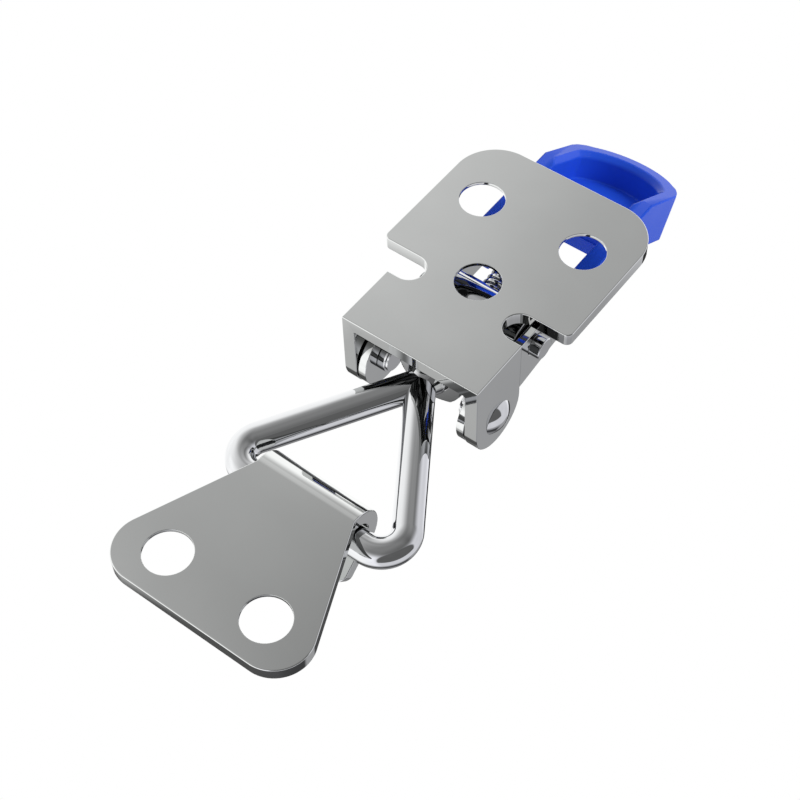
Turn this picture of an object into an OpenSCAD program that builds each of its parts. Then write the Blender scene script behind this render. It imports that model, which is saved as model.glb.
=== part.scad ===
/* [Base plate] */
// Length of the base plate along the pull
plate_length = 38; // [34:0.5:50]
// Width of the wide part of the base plate
plate_width = 30; // [27:0.5:44]
// Width of the narrow front part, over the two ears
neck_width = 21.7; // [20:0.1:26]
// Thickness of the steel sheet of base plate and catch plate
sheet = 2; // [1.2:0.1:2.5]
// Diameter of the mounting holes in the base plate
hole_d = 6.4; // [4.3:0.1:6.6]
// Straight land of each screw hole at the mounting face, under its countersink
hole_land = 0.5; // [0.3:0.1:1.2]
// Distance between the two rear mounting holes
rear_hole_pitch = 16.4; // [14:0.1:20]
// Distance from the front hole to the row of rear holes
hole_row_pitch = 12.5; // [9:0.1:16]
// Radius of the two rear corners
rear_corner_r = 6.5; // [1:0.5:8]
// Radius of the two front corners of the wide part
front_corner_r = 1; // [0.4:0.1:3]
// Width of the relief slot behind each ear
slot_w = 4.6; // [3:0.1:5]
// Depth of the relief slot, measured in from the side of the neck
slot_depth = 4.2; // [3:0.1:5]
// Length of each ear along the plate
ear_length = 9.8; // [9:0.1:11]
// Height of the lever pivot above the mounting face
pivot_height = 10; // [9.6:0.1:12]

/* [Lever] */
// Sheet thickness of the two lever arms
arm_t = 1.2; // [1:0.1:1.6]
// Side clearance between lever arm and ear
arm_gap = 0.2; // [0.1:0.05:0.4]
// Radius of the rounded front end of the arms
arm_nose_r = 4.8; // [4.2:0.1:5]
// Height of the arms behind the cross bolt
arm_depth = 7.5; // [7:0.1:8.5]
// Radial clearance of the pivot rivets in the arms
pivot_gap = 0.05; // [0.02:0.01:0.1]
// Distance from the pivot to the cross bolt
crank = 11.8; // [11.4:0.1:12.6]
// Drop of the cross bolt below the pivot, over-centre when closed
over_centre = 2.1; // [1.6:0.1:2.3]

/* [Grip] */
// Distance from the pivot to the front end of the grip
grip_start = 22.7; // [21:0.1:26]
// Distance from the pivot to the crease where the end kicks away
grip_crease = 39.9; // [38:0.1:44]
// Length of the kicked part of the grip
grip_kick_length = 14.8; // [13:0.1:17]
// Angle of the kicked part
grip_kick = 30; // [24:1:34]
// Thickness of the grip outside the lever arms
grip_skin = 0.45; // [0.4:0.05:1.5]
// Thickness of the grip inside the lever arms
grip_lining = 0.9; // [0.6:0.1:1.4]
// Wall of the grip at the tip of the cup
grip_tip_wall = 3.2; // [2.6:0.1:4]
// Depth of the grip, from its open side to its back
grip_depth = 8.2; // [7.9:0.1:9]
// Extra radius of the grip's round end beyond half its width
grip_end_extra = 0.5; // [0.3:0.1:6]
// Bevel around the mouth of the cup
cup_bevel = 0.8; // [0.4:0.1:1]

/* [Rivets and cross bolt] */
// Shank diameter of the pivot rivets
rivet_d = 3; // [2.4:0.1:3.2]
// Diameter of the domed rivet heads
rivet_head_d = 5.2; // [4.6:0.1:6]
// Height of the domed rivet heads
rivet_head_h = 1.1; // [0.8:0.1:1.6]
// Diameter of the formed heads inside the lever
rivet_tail_d = 4.6; // [4:0.1:5]
// Height of the formed heads inside the lever
rivet_tail_h = 1.5; // [0.8:0.1:1.6]
// Diameter of the cross bolt between the arms
bolt_d = 8; // [7.4:0.1:8.4]
// Diameter of the cross bolt's pins in the arms
bolt_pin_d = 3.2; // [2.6:0.1:3.6]
// Length of the pins outside the arms
bolt_pin_out = 1.6; // [1:0.1:2]

/* [Bail] */
// Diameter of the bail wire
wire_d = 4.2; // [3.6:0.1:4.4]
// Distance from the cross bolt to the bail's crossbar
bail_reach = 38; // [36:0.5:50]
// Distance from the crossbar to the point where the legs meet
bail_triangle = 24; // [23:0.5:26]
// Half width of the bail at the crossbar, leg axis to middle
bail_half = 15.3; // [14.5:0.1:17]
// Bend radius of the wire's axis at the crossbar
bail_bend_r = 3.2; // [2.6:0.1:4]
// Diameter of the threaded stem
stem_d = 6; // [5:0.1:6]
// Length of the stem behind the cross bolt's axis
stem_tail = 7.5; // [5.5:0.1:9]
// Rise of the bail from the cross bolt to the crossbar
bail_rise = 1.8; // [1.2:0.1:2.2]

/* [Lock nut] */
// Width of the lock nut across its flats
nut_af = 10; // [9:0.1:10]
// Height of the lock nut
nut_h = 6; // [4:0.1:6.4]
// Thickness of the plain washer behind the nut
washer_t = 2; // [1:0.1:2.4]
// Diameter of the washer
washer_d = 10.6; // [9:0.1:12]

/* [Catch plate] */
// Length from the front edge to the bail's crossbar
catch_reach = 22.6; // [21:0.2:34]
// Half width of the catch plate at its hook
catch_neck_half = 7.8; // [7:0.1:8.2]
// How far each side of the front edge stands out past the bail's leg axis
catch_front_out = 2; // [0:0.1:4]
// Radius of the two front corners
catch_corner_r = 5; // [2:0.5:7]
// Diameter of the mounting holes in the catch plate
catch_hole_d = 6.5; // [4.3:0.1:6.6]
// Distance between the two mounting holes of the catch plate
catch_hole_pitch = 15.5; // [14.5:0.1:17]
// Distance from the front edge to the holes
catch_hole_in = 5.8; // [5.6:0.1:8]
// Clearance between the rolled hook and the wire
hook_gap = 0.4; // [0.3:0.05:0.8]
// Angle through which the sheet is rolled around the crossbar
roll_angle = 140; // [120:5:160]
// Length of the straight lip behind the roll
lip_length = 6.6; // [4:0.1:8]
// Radius of the lip's two corners
lip_corner_r = 1.5; // [0.5:0.1:3]

/* [Hidden] */
$fn = 96;
eps = 0.05;
steel = [0.66, 0.67, 0.66];
chrome = [0.82, 0.83, 0.84];
blue = [0.15, 0.25, 0.80];

// The origin is midway between the front hole and the rear hole row
front_hole_x = -hole_row_pitch / 2;
rear_hole_x = hole_row_pitch / 2;
rear_x = rear_hole_x + 10.2;
front_x = rear_x - plate_length;
ear_rear_x = front_x + ear_length;
slot_x = ear_rear_x + slot_w / 2;
slot_end_y = neck_width / 2 - slot_depth + slot_w / 2;
ear_out_y = neck_width / 2;
ear_in_y = ear_out_y - sheet;

// Pivot of the lever
pivot_x = front_x + ear_length / 2;
pivot_z = pivot_height;
arm_out_y = ear_in_y - arm_gap;
arm_in_y = arm_out_y - arm_t;

// Cross bolt
bolt_x = pivot_x + sqrt(crank * crank - over_centre * over_centre);
bolt_z = pivot_z - over_centre;
bolt_gap = 0.2;
bar_half = arm_in_y - bolt_gap;

// Bail: its plane starts at the cross bolt and rises towards the crossbar
tilt = asin(bail_rise / bail_reach);
stem_start = bail_reach - bail_triangle;
leg_angle = atan2(bail_half, bail_triangle);
bar_x = bolt_x - bail_reach * cos(tilt);
bar_z = bolt_z + bail_rise;
thread_gap = 0.05;
lap = 0.1;
step = 0.01;

// Lever edges: lower edge, and upper edge behind the cross bolt
arm_low_z = pivot_z - arm_nose_r;
arm_top_z = arm_low_z + arm_depth;
grip_width = 2 * (arm_out_y + grip_skin);
grip_end_r = grip_width / 2 + grip_end_extra;
lever_end = grip_kick_length - grip_end_r;
crease_x = pivot_x + grip_crease;
grip_x = pivot_x + grip_start;
grip_low_z = arm_low_z - 0.1;
grip_top_z = grip_low_z + grip_depth;
web_start_x = crease_x - 5.5;
kick_depth = grip_depth - 1;
back_run = (grip_top_z - grip_low_z - kick_depth * cos(grip_kick)) / tan(grip_kick);
grip_in_y = arm_in_y - grip_lining;
cup_wall = grip_width / 2 - grip_in_y;
web_back = 0.6;
floor_t = 1.2;
floor_z = arm_top_z - arm_t - floor_t;
cup_depth = kick_depth - web_back - arm_t - floor_t;

// Catch plate, in the frame of the crossbar
hook_in_r = wire_d / 2 + hook_gap;
hook_out_r = hook_in_r + sheet;
catch_z = bar_z - hook_out_r;
roll_end = roll_angle - 90;
catch_front_half = bail_half + catch_front_out;
catch_flare = (catch_front_half - catch_neck_half) / catch_reach;

// Cuts a round of radius r at corner p, between edges that leave along a and b
module corner_cut(p, a, b, r) {
    half = acos((a * b) / (norm(a) * norm(b))) / 2;
    ua = a / norm(a);
    ub = b / norm(b);
    run = r / tan(half);
    mid = (ua + ub) / norm(ua + ub);
    c = p + mid * r / sin(half);
    ta = p + ua * run;
    tb = p + ub * run;
    difference() {
        polygon([c, ta + (ta - c) * 0.5, p - mid * r, tb + (tb - c) * 0.5]);
        translate(c) circle(r + step);
    }
}

// Mirror copy to the other side of the centre plane
module both_sides() {
    children();
    mirror([0, 1, 0]) children();
}

// A plate in the XZ plane: the outline's second axis is Z, from y0 to y1
module side_plate(y0, y1) {
    translate([0, y1, 0]) rotate([90, 0, 0]) linear_extrude(y1 - y0) children();
}

// Flat outline of the base plate with its relief slots and holes
module base_outline() {
    difference() {
        union() {
            translate([front_x, -neck_width / 2]) square([ear_length + slot_w + 1, neck_width]);
            translate([ear_rear_x + slot_w, -plate_width / 2])
                square([plate_length - ear_length - slot_w, plate_width]);
        }
        for (s = [-1, 1]) {
            translate([slot_x, s * slot_end_y]) circle(slot_w / 2);
            translate([slot_x, s * (slot_end_y + plate_width / 2)])
                square([slot_w, plate_width], center = true);
            corner_cut([rear_x, s * plate_width / 2], [-1, 0], [0, -s], rear_corner_r);
            corner_cut([ear_rear_x + slot_w, s * plate_width / 2], [1, 0], [0, -s], front_corner_r);
            translate([rear_hole_x, s * rear_hole_pitch / 2]) circle(d = hole_d);
        }
        translate([front_hole_x, 0]) circle(d = hole_d);
    }
}

// Countersink for a flat screw head, from the land of the hole to the far face
module countersink(d) {
    translate([0, 0, hole_land - lap])
        cylinder(r1 = d / 2 - lap, r2 = d / 2 + sheet - hole_land + lap, h = sheet - hole_land + 2 * lap);
}

// Ear outline: straight sides and a round end about the pivot
module ear_outline() {
    difference() {
        union() {
            translate([front_x, 0]) square([ear_length, pivot_z]);
            translate([pivot_x, pivot_z]) circle(ear_length / 2);
        }
        translate([pivot_x, pivot_z]) circle(d = rivet_d);
    }
}

// Folded base plate with two ears
module base_plate() {
    color(steel) difference() {
        union() {
            linear_extrude(sheet) base_outline();
            both_sides() side_plate(ear_in_y, ear_out_y) ear_outline();
        }
        both_sides() translate([rear_hole_x, rear_hole_pitch / 2, 0]) countersink(hole_d);
        translate([front_hole_x, 0, 0]) countersink(hole_d);
    }
}

// Pivot rivet on the +Y side: domed head outside, formed head inside the arm
module pivot_rivet() {
    dome_r = (pow(rivet_head_d / 2, 2) + pow(rivet_head_h, 2)) / (2 * rivet_head_h);
    tail_y = arm_in_y - pivot_gap;
    translate([pivot_x, 0, pivot_z]) rotate([-90, 0, 0]) rotate_extrude() {
        translate([0, tail_y - rivet_tail_h + 0.3]) square([rivet_tail_d / 2, rivet_tail_h - 0.3]);
        translate([0, tail_y - rivet_tail_h]) square([rivet_tail_d / 2 - 0.3, 0.31]);
        translate([0, tail_y - eps]) square([rivet_d / 2, ear_out_y - tail_y + 2 * eps]);
        intersection() {
            translate([0, ear_out_y + rivet_head_h - dome_r]) circle(dome_r);
            translate([0, ear_out_y]) square([rivet_head_d, rivet_head_h + 1]);
        }
    }
}

module pivot_rivet_right() {
    color(chrome) pivot_rivet();
}

module pivot_rivet_left() {
    color(chrome) mirror([0, 1, 0]) pivot_rivet();
}

// Point of the lever's web line, l along the kicked back and d in from it
function kick_point(l, d) = [
    crease_x + l * cos(grip_kick) - (kick_depth - web_back - d) * sin(grip_kick),
    grip_low_z + l * sin(grip_kick) + (kick_depth - web_back - d) * cos(grip_kick)
];

// Place along the kicked back where it meets the flat back, d in from both
function back_bend(d) = (arm_top_z - d - kick_point(0, d)[1]) / sin(grip_kick);

// Side outline of a lever arm, kicked away behind the crease
module arm_outline() {
    union() {
        translate([pivot_x, pivot_z]) circle(arm_nose_r);
        polygon([
            [pivot_x, arm_low_z],
            [crease_x, arm_low_z],
            kick_point(lever_end, kick_depth - web_back - 0.2),
            kick_point(lever_end, 0),
            kick_point(back_bend(0), 0),
            [pivot_x + grip_start - 6.1, arm_top_z],
            [pivot_x + grip_start - 13.7, pivot_z + arm_nose_r - 0.9],
            [pivot_x, pivot_z + arm_nose_r]
        ]);
    }
}

// The web that joins the two arms at the back of the grip
module web_outline() {
    polygon([
        [web_start_x, arm_top_z - arm_t],
        [web_start_x, arm_top_z],
        kick_point(back_bend(0), 0),
        kick_point(lever_end, 0),
        kick_point(lever_end, arm_t),
        kick_point(back_bend(arm_t), arm_t)
    ]);
}

// Stamped lever: two arms and the web between them
module lever() {
    color(steel) union() {
        both_sides() side_plate(arm_in_y, arm_out_y) difference() {
            arm_outline();
            translate([pivot_x, pivot_z]) circle(rivet_d / 2 + pivot_gap);
            translate([bolt_x, bolt_z]) circle(bolt_pin_d / 2 + pivot_gap);
        }
        side_plate(-arm_in_y - eps, arm_in_y + eps) web_outline();
    }
}

// Frame of the kicked end: origin on the crease, X along the open side, Z into the grip
module kick_frame() {
    translate([crease_x, 0, grip_low_z]) rotate([0, -grip_kick, 0]) children();
}

// Kicked end with a round front between z0 and z1, wall thinner than the outside at
// the sides and tip thinner at the front; it opens out by grow at z0
module grip_end(wall, tip, z0, z1, grow) {
    half = grip_width / 2 - wall;
    r = grip_end_r - wall;
    c = grip_kick_length - tip - r;
    intersection() {
        translate([-20, 0, 0]) rotate([90, 0, 90]) linear_extrude(20 + 2 * grip_kick_length)
            polygon([[-half - grow, z0], [half + grow, z0], [half, z1], [-half, z1]]);
        union() {
            translate([-20, -grip_width, z0]) cube([20 + c, 2 * grip_width, z1 - z0]);
            translate([c, 0, z0]) cylinder(r1 = r + grow, r2 = r, h = z1 - z0);
        }
    }
}

// Side outline of the flat part of the grip, run on under the kicked end
module grip_flat_outline() {
    polygon([
        [grip_x, grip_low_z],
        [crease_x, grip_low_z],
        [crease_x - kick_depth * sin(grip_kick) + back_run, grip_top_z],
        [grip_x, grip_top_z]
    ]);
}

// Outside of the whole grip
module grip_body() {
    side_plate(-grip_width / 2, grip_width / 2) grip_flat_outline();
    intersection() {
        kick_frame() grip_end(0, 0, 0, kick_depth, 0);
        translate([crease_x - kick_depth, -grip_width, 0]) cube([40, 2 * grip_width, grip_top_z + 20]);
        side_plate(-grip_width, grip_width) polygon([
            [crease_x, grip_low_z - 1],
            [crease_x + 40, grip_low_z - 1],
            [crease_x + 40, grip_top_z + 30],
            [crease_x - kick_depth * sin(grip_kick) + back_run, grip_top_z + 30],
            [crease_x - kick_depth * sin(grip_kick) + back_run, grip_top_z],
            [crease_x, grip_low_z]
        ]);
    }
}

// Moulded grip: side walls over the arms and a finger cup at the end
module grip() {
    color(blue) difference() {
        grip_body();
        // open middle between the side walls
        translate([grip_x - 1, -grip_in_y, 0])
            cube([web_start_x - 1.2 - grip_x + 1, 2 * grip_in_y, 40]);
        // hollow in front of the web
        translate([web_start_x - 2, -grip_in_y, grip_low_z - 1])
            cube([crease_x - web_start_x + 2 + eps, 2 * grip_in_y, floor_z - grip_low_z + 1]);
        // cup in the kicked end
        intersection() {
            kick_frame() union() {
                grip_end(cup_wall, grip_tip_wall, -1, cup_depth, 0);
                grip_end(cup_wall + lap, grip_tip_wall + lap, -lap, cup_bevel + lap, cup_bevel + 2 * lap);
            }
            translate([crease_x - 4, -grip_width, 0]) cube([40, 2 * grip_width, 60]);
        }
        // seat of the lever
        both_sides() side_plate(arm_in_y, arm_out_y) arm_outline();
        side_plate(-arm_in_y - eps, arm_in_y + eps) web_outline();
    }
}

// Cross bolt: bar between the arms, turned pins through them, bored for the stem
module cross_bolt() {
    color(chrome) difference() {
        translate([bolt_x, 0, bolt_z]) rotate([90, 0, 0]) union() {
            cylinder(d = bolt_d, h = 2 * bar_half, center = true);
            cylinder(d = bolt_pin_d, h = 2 * (arm_out_y + bolt_pin_out), center = true);
        }
        stem_frame() translate([0, 0, -bolt_d]) cylinder(d = stem_d + 2 * thread_gap, h = 2 * bolt_d);
    }
}

// Frame of the stem: origin on the cross bolt, +Z along the stem to the crossbar
module stem_frame() {
    translate([bolt_x, 0, bolt_z]) rotate([0, -90 + tilt, 0]) children();
}

// Plain washer between the lock nut and the cross bolt
module washer() {
    color(chrome) stem_frame() difference() {
        translate([0, 0, bolt_d / 2]) cylinder(d = washer_d, h = washer_t);
        cylinder(d = stem_d + 2 * thread_gap, h = bolt_d);
    }
}

// Hexagon lock nut with turned corners
module lock_nut() {
    corner_d = nut_af / cos(30);
    color(chrome) stem_frame() translate([0, 0, bolt_d / 2 + washer_t]) difference() {
        intersection() {
            rotate([0, 0, 30]) cylinder(d = corner_d, h = nut_h, $fn = 6);
            rotate_extrude() polygon([
                [0, 0], [nut_af / 2, 0], [corner_d / 2 + 0.01, 0.5],
                [corner_d / 2 + 0.01, nut_h - 0.5], [nut_af / 2, nut_h], [0, nut_h]
            ]);
        }
        translate([0, 0, -1]) cylinder(d = stem_d + 2 * thread_gap, h = nut_h + 2);
    }
}

// Half of the bail in its plane: u towards the crossbar, v to the side
module bail_half_loop() {
    inner = 90 - leg_angle;
    run = bail_bend_r / tan(inner / 2);
    leg = norm([bail_triangle, bail_half]) - run + lap;
    // bend, a hair thicker than the straight wire that enters it
    translate([bail_reach - bail_bend_r, bail_half - run, 0])
        rotate_extrude(angle = 180 - inner) translate([bail_bend_r, 0]) circle(d = wire_d + 2 * step);
    // leg
    translate([stem_start, 0, 0]) rotate([0, 90, leg_angle]) cylinder(d = wire_d, h = leg);
}

// Bail: triangular wire loop and threaded stem
module bail() {
    bar = 2 * (bail_half - bail_bend_r / tan((90 - leg_angle) / 2) + lap);
    color(chrome) translate([bolt_x, 0, bolt_z]) rotate([0, tilt, 0]) mirror([1, 0, 0]) union() {
        bail_half_loop();
        mirror([0, 1, 0]) bail_half_loop();
        // crossbar
        translate([bail_reach, bar / 2, 0]) rotate([90, 0, 0]) cylinder(d = wire_d, h = bar);
        // threaded stem with a chamfered end
        translate([-stem_tail, 0, 0]) rotate([0, 90, 0]) rotate_extrude() polygon([
            [0, 0], [stem_d / 2 - 0.6, 0], [stem_d / 2, 0.6],
            [stem_d / 2, stem_start + stem_tail - 1.2], [wire_d / 2 - 0.1, stem_start + stem_tail + 0.6],
            [0, stem_start + stem_tail + 0.6]
        ]);
    }
}

// Flat outline of the catch plate, from the crossbar to its front edge
module catch_outline() {
    difference() {
        polygon([
            [bar_x, -catch_neck_half],
            [bar_x, catch_neck_half],
            [bar_x - catch_reach, catch_front_half],
            [bar_x - catch_reach, -catch_front_half]
        ]);
        for (s = [-1, 1]) {
            corner_cut([bar_x - catch_reach, s * catch_front_half], [0, -s], [1, -s * catch_flare], catch_corner_r);
            translate([bar_x - catch_reach + catch_hole_in, s * catch_hole_pitch / 2]) circle(d = catch_hole_d);
        }
    }
}

// Points of an arc in a side view, from angle a0 to angle a1 in n steps
function arc(c, r, a0, a1, n) = [for (i = [0:n]) let (a = a0 + (a1 - a0) * i / n) c + r * [cos(a), sin(a)]];

// Side outline of the roll around the crossbar
module roll_outline() {
    c = [bar_x, bar_z];
    polygon(concat(arc(c, hook_out_r, -90, roll_end, 40), arc(c, hook_in_r, roll_end, -90, 40)));
}

// Flat outline of the lip: first axis across, second axis away from the roll
module lip_outline() {
    half = catch_neck_half - step;
    difference() {
        translate([-half, -lap]) square([2 * half, lip_length + lap]);
        for (s = [-1, 1])
            corner_cut([s * half, lip_length], [-s, 0], [0, -1], lip_corner_r);
    }
}

// Catch plate: flared plate rolled into a hook, with a straight lip a hair thinner than the roll
module catch_plate() {
    color(steel) union() {
        translate([0, 0, catch_z]) difference() {
            linear_extrude(sheet) catch_outline();
            both_sides() translate([bar_x - catch_reach + catch_hole_in, catch_hole_pitch / 2, 0])
                countersink(catch_hole_d);
        }
        side_plate(-catch_neck_half, catch_neck_half) roll_outline();
        translate([bar_x, 0, bar_z]) rotate([0, -roll_end, 0]) translate([hook_in_r + step, 0, 0])
            rotate([90, 0, 90]) linear_extrude(sheet - 2 * step) lip_outline();
    }
}

base_plate();
pivot_rivet_right();
pivot_rivet_left();
lever();
grip();
cross_bolt();
washer();
lock_nut();
bail();
catch_plate();
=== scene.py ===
import math

import bmesh
import bpy
from mathutils import Matrix, Vector


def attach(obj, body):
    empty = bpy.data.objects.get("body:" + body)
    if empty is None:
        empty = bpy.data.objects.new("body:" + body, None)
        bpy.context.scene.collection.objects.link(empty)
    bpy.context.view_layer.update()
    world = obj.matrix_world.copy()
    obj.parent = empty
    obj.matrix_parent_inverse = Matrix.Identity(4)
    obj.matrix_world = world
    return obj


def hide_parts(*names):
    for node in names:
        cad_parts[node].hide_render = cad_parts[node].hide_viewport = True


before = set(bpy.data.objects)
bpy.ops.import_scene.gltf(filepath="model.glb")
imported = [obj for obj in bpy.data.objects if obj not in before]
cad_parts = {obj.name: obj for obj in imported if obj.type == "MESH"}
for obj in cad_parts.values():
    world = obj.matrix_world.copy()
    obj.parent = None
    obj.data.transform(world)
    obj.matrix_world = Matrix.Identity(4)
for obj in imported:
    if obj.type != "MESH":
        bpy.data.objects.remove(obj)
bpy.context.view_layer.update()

# Camera: the photograph looks at the latch from its mounting side, with the
# catch plate towards the viewer. The lens gives the same mild perspective.
scene = bpy.context.scene
scene.view_settings.view_transform = "Standard"
camera_right = Vector((0.602772, 0.797655, 0.020290))
camera_down = Vector((-0.643834, 0.471197, 0.602869))
camera_forward = Vector((0.471322, -0.376456, 0.797582))
camera_place = Vector((-0.128211, 0.083609, -0.169764))
camera = bpy.data.objects.new("camera", bpy.data.cameras.new("camera"))
scene.collection.objects.link(camera)
camera.data.sensor_width = 36.0
camera.data.lens = 76.7664
camera.data.clip_start = 0.01
camera.data.clip_end = 10.0
camera.matrix_world = Matrix((
    (camera_right.x, -camera_down.x, -camera_forward.x, camera_place.x),
    (camera_right.y, -camera_down.y, -camera_forward.y, camera_place.y),
    (camera_right.z, -camera_down.z, -camera_forward.z, camera_place.z),
    (0.0, 0.0, 0.0, 1.0),
))
scene.camera = camera

# World: pure white behind the part, softer for the diffuse light so that shapes
# keep their shading. It is white for gloss too, but there the studio room further
# down stands in front of it.
world = bpy.data.worlds.new("studio")
scene.world = world
world.use_nodes = True
tree = world.node_tree
tree.nodes.clear()
paths = tree.nodes.new("ShaderNodeLightPath")
either = tree.nodes.new("ShaderNodeMath")
either.operation = "MAXIMUM"
seen = tree.nodes.new("ShaderNodeMath")
seen.operation = "MAXIMUM"
tree.links.new(paths.outputs["Is Camera Ray"], either.inputs[0])
tree.links.new(paths.outputs["Is Glossy Ray"], either.inputs[1])
tree.links.new(either.outputs[0], seen.inputs[0])
tree.links.new(paths.outputs["Is Transmission Ray"], seen.inputs[1])
soft = tree.nodes.new("ShaderNodeBackground")
soft.inputs["Color"].default_value = (0.93, 0.95, 1.0, 1.0)
soft.inputs["Strength"].default_value = 0.36
white = tree.nodes.new("ShaderNodeBackground")
white.inputs["Color"].default_value = (1.0, 1.0, 1.0, 1.0)
white.inputs["Strength"].default_value = 1.0
mix = tree.nodes.new("ShaderNodeMixShader")
out = tree.nodes.new("ShaderNodeOutputWorld")
tree.links.new(seen.outputs[0], mix.inputs["Fac"])
tree.links.new(soft.outputs[0], mix.inputs[1])
tree.links.new(white.outputs[0], mix.inputs[2])
tree.links.new(mix.outputs[0], out.inputs["Surface"])

# Floor: plain pale paper under the mounting faces, for the views from above. It
# pales to white away from the latch, and is see-through from below, where the
# photograph is taken.
floor_half, floor_level = 0.9, -0.0003
floor_mesh = bpy.data.meshes.new("floor")
floor_mesh.from_pydata(
    [(-floor_half, -floor_half, floor_level), (floor_half, -floor_half, floor_level),
     (floor_half, floor_half, floor_level), (-floor_half, floor_half, floor_level)],
    [], [(0, 1, 2, 3)])
floor = bpy.data.objects.new("floor", floor_mesh)
scene.collection.objects.link(floor)
paper = bpy.data.materials.new("pale_floor")
paper.use_nodes = True
tree = paper.node_tree
tree.nodes.clear()
spot = tree.nodes.new("ShaderNodeTexCoord")
grain = tree.nodes.new("ShaderNodeTexNoise")
grain.inputs["Scale"].default_value = 60.0
ramp = tree.nodes.new("ShaderNodeValToRGB")
ramp.color_ramp.elements[0].color = (0.93, 0.93, 0.93, 1.0)
ramp.color_ramp.elements[1].color = (0.97, 0.97, 0.97, 1.0)
tree.links.new(spot.outputs["Object"], grain.inputs["Vector"])
tree.links.new(grain.outputs["Fac"], ramp.inputs["Fac"])
matt = tree.nodes.new("ShaderNodeBsdfDiffuse")
tree.links.new(ramp.outputs["Color"], matt.inputs["Color"])
clear = tree.nodes.new("ShaderNodeBsdfTransparent")
away = tree.nodes.new("ShaderNodeVectorMath")
away.operation = "LENGTH"
tree.links.new(spot.outputs["Object"], away.inputs[0])
pale = tree.nodes.new("ShaderNodeMapRange")
pale.inputs["From Min"].default_value = 0.10
pale.inputs["From Max"].default_value = 0.60
pale.inputs["To Min"].default_value = 0.55
pale.inputs["To Max"].default_value = 1.0
tree.links.new(away.outputs["Value"], pale.inputs["Value"])
lit_paper = tree.nodes.new("ShaderNodeEmission")
papered = tree.nodes.new("ShaderNodeMixShader")
tree.links.new(pale.outputs["Result"], papered.inputs["Fac"])
tree.links.new(matt.outputs[0], papered.inputs[1])
tree.links.new(lit_paper.outputs[0], papered.inputs[2])
side = tree.nodes.new("ShaderNodeNewGeometry")
mix = tree.nodes.new("ShaderNodeMixShader")
out = tree.nodes.new("ShaderNodeOutputMaterial")
tree.links.new(side.outputs["Backfacing"], mix.inputs["Fac"])
tree.links.new(papered.outputs[0], mix.inputs[1])
tree.links.new(clear.outputs[0], mix.inputs[2])
tree.links.new(mix.outputs[0], out.inputs["Surface"])
floor_mesh.materials.append(paper)
floor.visible_diffuse = False
floor.visible_glossy = False
floor.visible_transmission = False
floor.visible_shadow = False

# Lights: soft panels on the mounting side, as in the photograph, and the same
# plain light above for the other views.
latch_middle = Vector((-0.02, 0.0, 0.008))
for name, place, size, power, tint in (
        ("key_below", (0.34, 0.36, -0.22), 0.30, 1.7, (1.0, 1.0, 1.0)),
        ("fill_below", (0.35, -0.35, -0.30), 0.5, 0.5, (0.95, 0.97, 1.0)),
        ("key_above", (-0.25, -0.35, 0.50), 0.5, 1.6, (1.0, 1.0, 1.0)),
        ("fill_above", (0.35, 0.35, 0.35), 0.5, 0.8, (0.97, 0.98, 1.0))):
    lamp = bpy.data.lights.new(name, "AREA")
    lamp.shape = "SQUARE"
    lamp.size = size
    lamp.energy = power
    lamp.color = tint
    light = bpy.data.objects.new(name, lamp)
    scene.collection.objects.link(light)
    light.location = place
    aim = latch_middle - Vector(place)
    light.rotation_euler = aim.to_track_quat("-Z", "Y").to_euler()
    light.visible_camera = False
    light.visible_glossy = False

# Studio room: a sphere that only shiny surfaces show, bright around the horizon
# and grey under the latch, with a window and cards hung in it. It fades after the
# first reflection, so that hollows between bright parts go dark.
room_radius = 1.5
room_mesh = bpy.data.meshes.new("studio_room")
ball = bmesh.new()
bmesh.ops.create_icosphere(ball, subdivisions=4, radius=room_radius)
bmesh.ops.reverse_faces(ball, faces=ball.faces)
ball.to_mesh(room_mesh)
ball.free()
room = bpy.data.objects.new("studio_room", room_mesh)
scene.collection.objects.link(room)
room_paint = bpy.data.materials.new("studio_room")
room_paint.use_nodes = True
tree = room_paint.node_tree
tree.nodes.clear()
spot = tree.nodes.new("ShaderNodeTexCoord")
way = tree.nodes.new("ShaderNodeVectorMath")
way.operation = "NORMALIZE"
tree.links.new(spot.outputs["Object"], way.inputs[0])
axes = tree.nodes.new("ShaderNodeSeparateXYZ")
tree.links.new(way.outputs["Vector"], axes.inputs["Vector"])
ramps = {}
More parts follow.
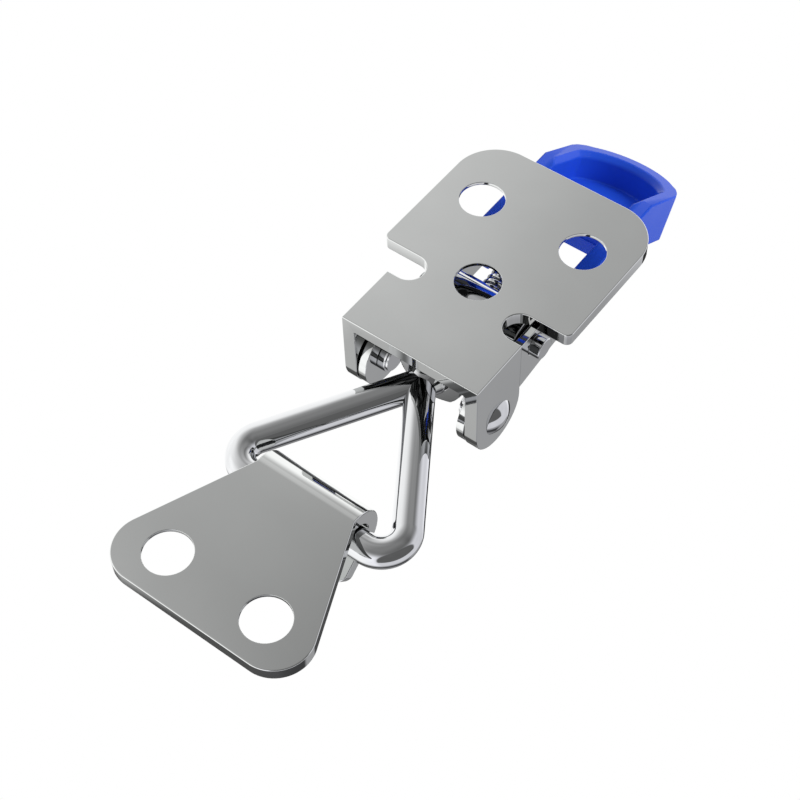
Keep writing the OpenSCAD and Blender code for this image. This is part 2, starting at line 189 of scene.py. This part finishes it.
for ramp_name, axis, blue_share, stops in (
        ("overhead", "Z", 1.0,
         ((-1.0, 1.0), (0.45, 1.0), (0.70, 0.95), (0.765, 0.44), (0.815, 0.41), (0.845, 0.08),
          (0.93, 0.06), (0.97, 0.22), (1.0, 0.30))),
        ("horizon", "Y", 1.05,
         ((-1.0, 1.0), (-0.2, 1.0), (0.28, 0.92), (0.44, 0.66), (1.0, 0.64))),
        ("under", "Y", 1.0,
         ((-1.0, 1.0), (-0.79, 0.93), (-0.66, 0.80), (-0.53, 0.64), (-0.42, 0.53), (-0.38, 0.475),
          (-0.32, 0.385), (-0.22, 0.32), (-0.08, 0.265), (0.2, 0.24), (0.37, 0.21), (0.53, 0.18),
          (1.0, 0.14))),
        ("lean", "X", 1.0,
         ((-1.0, 0.80), (0.15, 0.84), (0.30, 0.65), (0.36, 0.70), (0.50, 0.99), (0.62, 1.0),
          (0.70, 0.60), (1.0, 0.60)))):
    spread = tree.nodes.new("ShaderNodeMapRange")
    spread.inputs["From Min"].default_value = -1.0
    spread.inputs["From Max"].default_value = 1.0
    ramp = tree.nodes.new("ShaderNodeValToRGB")
    while len(ramp.color_ramp.elements) < len(stops):
        ramp.color_ramp.elements.new(0.5)
    for stop, (place, level) in zip(ramp.color_ramp.elements, stops):
        stop.position = (place + 1.0) / 2.0
    for stop, (place, level) in zip(ramp.color_ramp.elements, stops):
        cool = blue_share if place > 0.0 else 1.0
        stop.color = (level, level, level * cool, 1.0)
    tree.links.new(axes.outputs[axis], spread.inputs["Value"])
    tree.links.new(spread.outputs["Result"], ramp.inputs["Fac"])
    ramps[ramp_name] = ramp.outputs["Color"]
upper = tree.nodes.new("ShaderNodeVectorMath")
upper.operation = "MULTIPLY"
tree.links.new(ramps["overhead"], upper.inputs[0])
tree.links.new(ramps["horizon"], upper.inputs[1])
lower = tree.nodes.new("ShaderNodeVectorMath")
lower.operation = "MULTIPLY"
tree.links.new(ramps["under"], lower.inputs[0])
tree.links.new(ramps["lean"], lower.inputs[1])


def hung_card(behind, toward, edge, shade, top=None):
    """A card in the room. edge is its soft rim, as cosines from where it hangs,
    and top its soft upper end, as the sine of the height."""
    facing = tree.nodes.new("ShaderNodeVectorMath")
    facing.operation = "DOT_PRODUCT"
    facing.inputs[1].default_value = toward
    tree.links.new(way.outputs["Vector"], facing.inputs[0])
    rim = tree.nodes.new("ShaderNodeMapRange")
    rim.inputs["From Min"].default_value, rim.inputs["From Max"].default_value = edge
    tree.links.new(facing.outputs["Value"], rim.inputs["Value"])
    cover = rim.outputs["Result"]
    if top is not None:
        height = tree.nodes.new("ShaderNodeMapRange")
        height.inputs["From Min"].default_value, height.inputs["From Max"].default_value = top
        tree.links.new(axes.outputs["Z"], height.inputs["Value"])
        cropped = tree.nodes.new("ShaderNodeMath")
        cropped.operation = "MULTIPLY"
        tree.links.new(cover, cropped.inputs[0])
        tree.links.new(height.outputs["Result"], cropped.inputs[1])
        cover = cropped.outputs["Value"]
    shown = tree.nodes.new("ShaderNodeMix")
    shown.data_type = "RGBA"
    shown.inputs["B"].default_value = (*shade, 1.0)
    tree.links.new(cover, shown.inputs["Factor"])
    tree.links.new(behind, shown.inputs["A"])
    return shown.outputs["Result"]


window = hung_card(
    upper.outputs["Vector"], toward=(0.72, -0.69, 0.0), edge=(0.42, 0.52),
    shade=(1.0, 1.0, 1.0), top=(0.95, 0.90))
meet = tree.nodes.new("ShaderNodeMapRange")
meet.interpolation_type = "SMOOTHSTEP"
meet.inputs["From Min"].default_value = -0.76
meet.inputs["From Max"].default_value = -0.22
tree.links.new(axes.outputs["Z"], meet.inputs["Value"])
joined = tree.nodes.new("ShaderNodeMix")
joined.data_type = "RGBA"
tree.links.new(meet.outputs["Result"], joined.inputs["Factor"])
tree.links.new(lower.outputs["Vector"], joined.inputs["A"])
tree.links.new(window, joined.inputs["B"])
side_card = hung_card(
    joined.outputs["Result"], toward=(-0.39, 0.92, 0.0), edge=(0.69, 0.74),
    shade=(0.11, 0.11, 0.11), top=(0.28, 0.25))
grey_sheet = hung_card(
    side_card, toward=(0.414, 0.357, 0.838), edge=(0.968, 0.984), shade=(0.32, 0.32, 0.33))
dark_flag = hung_card(
    grey_sheet, toward=(0.700, 0.020, 0.714), edge=(0.968, 0.977), shade=(0.03, 0.03, 0.03))
drift = tree.nodes.new("ShaderNodeTexNoise")
drift.inputs["Scale"].default_value = 2.2
drift.inputs["Detail"].default_value = 1.0
tree.links.new(way.outputs["Vector"], drift.inputs["Vector"])
level = tree.nodes.new("ShaderNodeMapRange")
level.inputs["From Min"].default_value = 0.3
level.inputs["From Max"].default_value = 0.7
level.inputs["To Min"].default_value = 0.95
level.inputs["To Max"].default_value = 1.05
tree.links.new(drift.outputs["Fac"], level.inputs["Value"])
paths = tree.nodes.new("ShaderNodeLightPath")
again = tree.nodes.new("ShaderNodeMapRange")
again.inputs["From Min"].default_value = 1.0
again.inputs["From Max"].default_value = 3.0
again.inputs["To Min"].default_value = 1.0
again.inputs["To Max"].default_value = 0.05
tree.links.new(paths.outputs["Glossy Depth"], again.inputs["Value"])
strength = tree.nodes.new("ShaderNodeMath")
strength.operation = "MULTIPLY"
tree.links.new(level.outputs["Result"], strength.inputs[0])
tree.links.new(again.outputs["Result"], strength.inputs[1])
glow = tree.nodes.new("ShaderNodeEmission")
out = tree.nodes.new("ShaderNodeOutputMaterial")
tree.links.new(dark_flag, glow.inputs["Color"])
tree.links.new(strength.outputs["Value"], glow.inputs["Strength"])
tree.links.new(glow.outputs[0], out.inputs["Surface"])
room_mesh.materials.append(room_paint)
room.visible_camera = False
room.visible_diffuse = False
room.visible_transmission = False
room.visible_shadow = False

# Base plate: 2 mm mild steel, blanked with its holes and relief slots, folded
# up into two ears and zinc plated to a satin grey. Its cut edges are broken.
sheet_steel = bpy.data.materials.new("satin_zinc_steel")
sheet_steel.use_nodes = True
tree = sheet_steel.node_tree
shader = tree.nodes["Principled BSDF"]
shader.inputs["Metallic"].default_value = 1.0
spot = tree.nodes.new("ShaderNodeTexCoord")
cloud = tree.nodes.new("ShaderNodeTexNoise")
cloud.inputs["Scale"].default_value = 70.0
cloud.inputs["Detail"].default_value = 3.0
ramp = tree.nodes.new("ShaderNodeValToRGB")
ramp.color_ramp.elements[0].position = 0.35
ramp.color_ramp.elements[0].color = (0.90, 0.915, 0.905, 1.0)
ramp.color_ramp.elements[1].position = 0.65
ramp.color_ramp.elements[1].color = (0.94, 0.955, 0.945, 1.0)
tree.links.new(spot.outputs["Object"], cloud.inputs["Vector"])
tree.links.new(cloud.outputs["Fac"], ramp.inputs["Fac"])
tree.links.new(ramp.outputs["Color"], shader.inputs["Base Color"])
stretch = tree.nodes.new("ShaderNodeMapping")
stretch.inputs["Scale"].default_value = (600.0, 5200.0, 5200.0)
brush = tree.nodes.new("ShaderNodeTexNoise")
brush.inputs["Scale"].default_value = 1.0
brush.inputs["Detail"].default_value = 2.0
tree.links.new(spot.outputs["Object"], stretch.inputs["Vector"])
tree.links.new(stretch.outputs["Vector"], brush.inputs["Vector"])
rough = tree.nodes.new("ShaderNodeMapRange")
rough.inputs["To Min"].default_value = 0.03
rough.inputs["To Max"].default_value = 0.06
tree.links.new(brush.outputs["Fac"], rough.inputs["Value"])
tree.links.new(rough.outputs["Result"], shader.inputs["Roughness"])
bump = tree.nodes.new("ShaderNodeBump")
bump.inputs["Strength"].default_value = 0.02
bump.inputs["Distance"].default_value = 0.00002
tree.links.new(brush.outputs["Fac"], bump.inputs["Height"])
tree.links.new(bump.outputs["Normal"], shader.inputs["Normal"])


def broken_edges(node, name, width, share=None, segments=3):
    """A copy of one of the part's solids, its sharp edges rounded by width metres.

    share(middle) is the part of that width an edge gets, by where its middle is.
    """
    sharp_from, smooth_below = math.radians(24), 0.82
    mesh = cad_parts[node].data.copy()
    mesh.materials.clear()
    bm = bmesh.new()
    bm.from_mesh(mesh)
    bmesh.ops.remove_doubles(bm, verts=bm.verts, dist=2e-6)
    bmesh.ops.dissolve_degenerate(bm, dist=1e-6, edges=bm.edges)
    bmesh.ops.dissolve_limit(
        bm, angle_limit=math.radians(0.4), verts=bm.verts, edges=bm.edges)
    weight = bm.edges.layers.float.new("bevel_weight_edge")
    for edge in bm.edges:
        if len(edge.link_faces) == 2 and edge.calc_face_angle(0.0) > sharp_from:
            middle = (edge.verts[0].co + edge.verts[1].co) / 2
            edge[weight] = 1.0 if share is None else share(middle)
    bm.to_mesh(mesh)
    bm.free()
    for polygon in mesh.polygons:
        polygon.use_smooth = True
    piece = bpy.data.objects.new(name, mesh)
    scene.collection.objects.link(piece)
    bevel = piece.modifiers.new("edges", "BEVEL")
    bevel.limit_method = "WEIGHT"
    bevel.width = width
    bevel.segments = segments
    bevel.use_clamp_overlap = False
    bevel.miter_outer = "MITER_ARC"
    looks = bpy.context.evaluated_depsgraph_get()
    shown = bpy.data.meshes.new_from_object(
        piece.evaluated_get(looks), preserve_all_data_layers=True, depsgraph=looks)
    piece.modifiers.clear()
    piece.data = shown
    shown.name = name
    faces_at = [[] for vertex in shown.vertices]
    for face in shown.polygons:
        for vertex in face.vertices:
            faces_at[vertex].append(face)
    normals = []
    for face in shown.polygons:
        for vertex in face.vertices:
            shared = Vector((0.0, 0.0, 0.0))
            for other in faces_at[vertex]:
                if other.normal.dot(face.normal) > smooth_below:
                    shared += other.normal * other.area
            normals.append(shared.normalized())
    shown.normals_split_custom_set(normals)
    return piece


sheet_edge, hole_edge, hole_reach = 0.00016, 0.45, 0.0036
base_holes = ((0.00625, 0.0082), (0.00625, -0.0082), (-0.00625, 0.0))
base_plate = broken_edges(
    "base_plate", "base_plate_dressed", sheet_edge,
    share=lambda middle: hole_edge if min(
        math.hypot(middle.x - x, middle.y - y) for x, y in base_holes) < hole_reach else 1.0)
base_plate.data.materials.append(sheet_steel)
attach(base_plate, "base")
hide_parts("base_plate")

# Pivot rivets: turned steel rivets with a low dome outside and a formed head
# inside the arm, bright plated; they carry the lever in the two ears.
chrome = bpy.data.materials.new("bright_plating")
chrome.use_nodes = True
tree = chrome.node_tree
shader = tree.nodes["Principled BSDF"]
shader.inputs["Metallic"].default_value = 1.0
spot = tree.nodes.new("ShaderNodeTexCoord")
cloud = tree.nodes.new("ShaderNodeTexNoise")
cloud.inputs["Scale"].default_value = 220.0
cloud.inputs["Detail"].default_value = 2.0
ramp = tree.nodes.new("ShaderNodeValToRGB")
ramp.color_ramp.elements[0].color = (0.86, 0.87, 0.88, 1.0)
ramp.color_ramp.elements[1].color = (0.92, 0.93, 0.94, 1.0)
rough = tree.nodes.new("ShaderNodeMapRange")
rough.inputs["To Min"].default_value = 0.02
rough.inputs["To Max"].default_value = 0.04
tree.links.new(spot.outputs["Object"], cloud.inputs["Vector"])
tree.links.new(cloud.outputs["Fac"], ramp.inputs["Fac"])
tree.links.new(cloud.outputs["Fac"], rough.inputs["Value"])
tree.links.new(ramp.outputs["Color"], shader.inputs["Base Color"])
tree.links.new(rough.outputs["Result"], shader.inputs["Roughness"])
for node in ("pivot_rivet_right", "pivot_rivet_left"):
    rivet = broken_edges(node, node + "_dressed", 0.00008, segments=2)
    rivet.data.materials.append(chrome)
    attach(rivet, "base")
    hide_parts(node)

# Lever: stamped from 1.2 mm steel, two arms joined by a web at the back, in
# the same satin plating as the base. The web lies inside the plastic grip.
lever = broken_edges("lever", "lever_dressed", 0.0001)
lever.data.materials.append(sheet_steel)
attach(lever, "lever")
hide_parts("lever")

# Grip: glossy blue moulding pushed over the lever's arms, with a finger cup
# under its kicked end. The mould leaves rounded edges and a faint ripple, and
# the pockets that take the arms stay sharp.
blue = bpy.data.materials.new("glossy_blue_moulding")
blue.use_nodes = True
tree = blue.node_tree
shader = tree.nodes["Principled BSDF"]
spot = tree.nodes.new("ShaderNodeTexCoord")
cloud = tree.nodes.new("ShaderNodeTexNoise")
cloud.inputs["Scale"].default_value = 90.0
cloud.inputs["Detail"].default_value = 2.0
ramp = tree.nodes.new("ShaderNodeValToRGB")
ramp.color_ramp.elements[0].position = 0.3
ramp.color_ramp.elements[0].color = (0.020, 0.098, 0.76, 1.0)
ramp.color_ramp.elements[1].position = 0.7
ramp.color_ramp.elements[1].color = (0.026, 0.108, 0.82, 1.0)
tree.links.new(spot.outputs["Object"], cloud.inputs["Vector"])
tree.links.new(cloud.outputs["Fac"], ramp.inputs["Fac"])
tree.links.new(ramp.outputs["Color"], shader.inputs["Base Color"])
ripple = tree.nodes.new("ShaderNodeTexNoise")
ripple.inputs["Scale"].default_value = 320.0
ripple.inputs["Detail"].default_value = 1.0
tree.links.new(spot.outputs["Object"], ripple.inputs["Vector"])
rough = tree.nodes.new("ShaderNodeMapRange")
rough.inputs["To Min"].default_value = 0.12
rough.inputs["To Max"].default_value = 0.2
tree.links.new(ripple.outputs["Fac"], rough.inputs["Value"])
tree.links.new(rough.outputs["Result"], shader.inputs["Roughness"])
bump = tree.nodes.new("ShaderNodeBump")
bump.inputs["Strength"].default_value = 0.12
bump.inputs["Distance"].default_value = 0.00006
tree.links.new(ripple.outputs["Fac"], bump.inputs["Height"])
tree.links.new(bump.outputs["Normal"], shader.inputs["Normal"])
shader.inputs["IOR"].default_value = 1.22
pocket_in, pocket_out = 0.0073, 0.0088
grip = broken_edges(
    "grip", "grip_dressed", 0.00028,
    share=lambda middle: 0.0 if pocket_in < abs(middle.y) < pocket_out else 1.0)
grip.data.materials.append(blue)
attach(grip, "lever")
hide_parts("grip")

# Cross bolt and washer: a bar turned with two pins that stand out through the
# arms, tapped across for the stem, and a plain washer; both bright plated.
cross_bolt = broken_edges("cross_bolt", "cross_bolt_dressed", 0.00015)
cross_bolt.data.materials.append(chrome)
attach(cross_bolt, "cross_bolt")
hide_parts("cross_bolt")
washer = broken_edges("washer", "washer_dressed", 0.00015)
washer.data.materials.append(chrome)
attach(washer, "cross_bolt")
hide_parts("washer")

# Lock nut: a plated hexagon nut with turned corners, run down the stem
# against the washer. Its flats meet in slightly rounded edges.
lock_nut = broken_edges("lock_nut", "lock_nut_dressed", 0.00012)
lock_nut.data.materials.append(chrome)
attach(lock_nut, "lock_nut")
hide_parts("lock_nut")

# Bail: round 4.2 mm wire bent to a triangle, its two ends welded to a 6 mm
# stem that is cut with a one millimetre thread; all of it bright plated.
bolt_centre = Vector((-0.005038368, 0.0, 0.0079))
along = Vector((-0.998877486, 0.0, 0.047368421))
across = Vector((0.0, 1.0, 0.0))
reach, triangle, half, bend = 0.038, 0.024, 0.0153, 0.0032
leg_steps, bend_steps = 13, 40
leg_angle = math.atan2(half, triangle)
run = bend / math.tan((math.pi / 2 - leg_angle) / 2)
route = []
leg = math.hypot(triangle, half) - run
for i in range(leg_steps):
    distance = leg * i / leg_steps
    route.append((
        reach - triangle + distance * math.cos(leg_angle), distance * math.sin(leg_angle)))
for i in range(bend_steps + 1):
    angle = math.pi / 2 + leg_angle - (math.pi / 2 + leg_angle) * i / bend_steps
    route.append((reach - bend + bend * math.cos(angle), half - run + bend * math.sin(angle)))
route = route + [(u, -v) for u, v in reversed(route)]
path_mesh = bpy.data.meshes.new("bail_path")
path_mesh.from_pydata(
    [bolt_centre + along * u + across * v for u, v in route],
    [(i, i + 1) for i in range(len(route) - 1)], [])
bail = bpy.data.objects.new("bail_wire", path_mesh)
scene.collection.objects.link(bail)
tree = bpy.data.node_groups.new("wire_on_path", "GeometryNodeTree")
tree.interface.new_socket("Path", in_out="INPUT", socket_type="NodeSocketGeometry")
wire_radius = tree.interface.new_socket(
    "Wire radius", in_out="INPUT", socket_type="NodeSocketFloat")
wire_sides = tree.interface.new_socket(
    "Wire sides", in_out="INPUT", socket_type="NodeSocketInt")
tree.interface.new_socket("Wire", in_out="OUTPUT", socket_type="NodeSocketGeometry")
given = tree.nodes.new("NodeGroupInput")
made = tree.nodes.new("NodeGroupOutput")
to_curve = tree.nodes.new("GeometryNodeMeshToCurve")
ring = tree.nodes.new("GeometryNodeCurvePrimitiveCircle")
sweep = tree.nodes.new("GeometryNodeCurveToMesh")
sweep.inputs["Fill Caps"].default_value = True
smooth = tree.nodes.new("GeometryNodeSetShadeSmooth")
real = tree.nodes.new("GeometryNodeRealizeInstances")
paint = tree.nodes.new("GeometryNodeSetMaterial")
paint.inputs["Material"].default_value = chrome
tree.links.new(given.outputs["Path"], to_curve.inputs["Mesh"])
tree.links.new(given.outputs["Wire radius"], ring.inputs["Radius"])
tree.links.new(given.outputs["Wire sides"], ring.inputs["Resolution"])
tree.links.new(to_curve.outputs["Curve"], sweep.inputs["Curve"])
tree.links.new(ring.outputs["Curve"], sweep.inputs["Profile Curve"])
tree.links.new(sweep.outputs["Mesh"], smooth.inputs["Geometry"])
tree.links.new(smooth.outputs["Geometry"], real.inputs["Geometry"])
tree.links.new(real.outputs["Geometry"], paint.inputs["Geometry"])
tree.links.new(paint.outputs["Geometry"], made.inputs["Wire"])
nodes = bail.modifiers.new("wire", "NODES")
nodes.node_group = tree
nodes[wire_radius.identifier] = 0.0021
nodes[wire_sides.identifier] = 64
looks = bpy.context.evaluated_depsgraph_get()
swept = bpy.data.meshes.new_from_object(bail.evaluated_get(looks), depsgraph=looks)
bail.modifiers.clear()
bail.data = swept
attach(bail, "bail")
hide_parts("bail")

# Stem: the threaded end of the bail, one ridge that winds along a turned core,
# chamfered at its free end and necked down to the wire where the legs join.
stem_mesh = bpy.data.meshes.new("stem_core")
profile = [(-0.0075, 0.0), (-0.0075, 0.0022), (-0.0072, 0.0025), (0.0112, 0.0025),
           (0.0116, 0.00298), (0.0127, 0.00298), (0.0131, 0.0028), (0.0146, 0.0020),
           (0.0147, 0.0)]
stem_sides = 64
up = along.cross(across)
turned = bmesh.new()
rings = []
for u, radius in profile:
    centre = bolt_centre + along * u
    rings.append([turned.verts.new(centre + (across * math.cos(a) + up * math.sin(a)) * radius)
                  for a in [2 * math.pi * k / stem_sides
                            for k in range(stem_sides if radius > 0 else 1)]])
for low, high in zip(rings, rings[1:]):
    for k in range(stem_sides):
        quad = [low[k % len(low)], low[(k + 1) % len(low)],
                high[(k + 1) % len(high)], high[k % len(high)]]
        turned.faces.new(list(dict.fromkeys(quad)))
bmesh.ops.recalc_face_normals(turned, faces=turned.faces)
turned.to_mesh(stem_mesh)
turned.free()
for polygon in stem_mesh.polygons:
    polygon.use_smooth = True
stem_mesh.set_sharp_from_angle(angle=math.radians(35))
stem = bpy.data.objects.new("bail_stem_core", stem_mesh)
scene.collection.objects.link(stem)
stem_mesh.materials.append(chrome)
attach(stem, "bail")
thread_seed = bpy.data.meshes.new("thread_seed")
thread = bpy.data.objects.new("bail_thread", thread_seed)
scene.collection.objects.link(thread)
tree = bpy.data.node_groups.new("thread_ridge", "GeometryNodeTree")
turns = tree.interface.new_socket(
    "Turns", in_out="INPUT", socket_type="NodeSocketFloat")
rise = tree.interface.new_socket(
    "Threaded length", in_out="INPUT", socket_type="NodeSocketFloat")
middle_radius = tree.interface.new_socket(
    "Ridge centre radius", in_out="INPUT", socket_type="NodeSocketFloat")
ridge_radius = tree.interface.new_socket(
    "Ridge size", in_out="INPUT", socket_type="NodeSocketFloat")
tree.interface.new_socket("Thread", in_out="OUTPUT", socket_type="NodeSocketGeometry")
given = tree.nodes.new("NodeGroupInput")
made = tree.nodes.new("NodeGroupOutput")
spiral = tree.nodes.new("GeometryNodeCurveSpiral")
spiral.inputs["Resolution"].default_value = 48
upright = tree.nodes.new("GeometryNodeSetCurveNormal")
upright.mode = "Z_UP"
ridge = tree.nodes.new("GeometryNodeCurvePrimitiveCircle")
ridge.inputs["Resolution"].default_value = 6
sweep = tree.nodes.new("GeometryNodeCurveToMesh")
sweep.inputs["Fill Caps"].default_value = True
real = tree.nodes.new("GeometryNodeRealizeInstances")
paint = tree.nodes.new("GeometryNodeSetMaterial")
paint.inputs["Material"].default_value = chrome
tree.links.new(given.outputs["Turns"], spiral.inputs["Rotations"])
tree.links.new(given.outputs["Threaded length"], spiral.inputs["Height"])
tree.links.new(given.outputs["Ridge centre radius"], spiral.inputs["Start Radius"])
tree.links.new(given.outputs["Ridge centre radius"], spiral.inputs["End Radius"])
tree.links.new(given.outputs["Ridge size"], ridge.inputs["Radius"])
tree.links.new(spiral.outputs["Curve"], upright.inputs["Curve"])
tree.links.new(upright.outputs["Curve"], sweep.inputs["Curve"])
tree.links.new(ridge.outputs["Curve"], sweep.inputs["Profile Curve"])
tree.links.new(sweep.outputs["Mesh"], real.inputs["Geometry"])
tree.links.new(real.outputs["Geometry"], paint.inputs["Geometry"])
tree.links.new(paint.outputs["Geometry"], made.inputs["Thread"])
nodes = thread.modifiers.new("thread", "NODES")
nodes.node_group = tree
nodes[turns.identifier] = 17.6
nodes[rise.identifier] = 0.0176
nodes[middle_radius.identifier] = 0.00252
nodes[ridge_radius.identifier] = 0.00046
looks = bpy.context.evaluated_depsgraph_get()
wound = bpy.data.meshes.new_from_object(thread.evaluated_get(looks), depsgraph=looks)
thread.modifiers.clear()
thread_start = bolt_centre + along * -0.0067
wound.transform(Matrix((
    (across.x, up.x, along.x, thread_start.x),
    (across.y, up.y, along.y, thread_start.y),
    (across.z, up.z, along.z, thread_start.z),
    (0.0, 0.0, 0.0, 1.0))))
thread.data = wound
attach(thread, "bail")

# Catch plate: the same 2 mm sheet, flared towards its two screw holes and
# rolled at its narrow end into a hook with a straight lip over the crossbar.
catch_hole_x, catch_hole_y = -0.059796, 0.00775
catch_plate = broken_edges(
    "catch_plate", "catch_plate_dressed", sheet_edge,
    share=lambda middle: hole_edge if math.hypot(
        middle.x - catch_hole_x, abs(middle.y) - catch_hole_y) < hole_reach else 1.0)
catch_plate.data.materials.append(sheet_steel)
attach(catch_plate, "catch")
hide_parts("catch_plate")
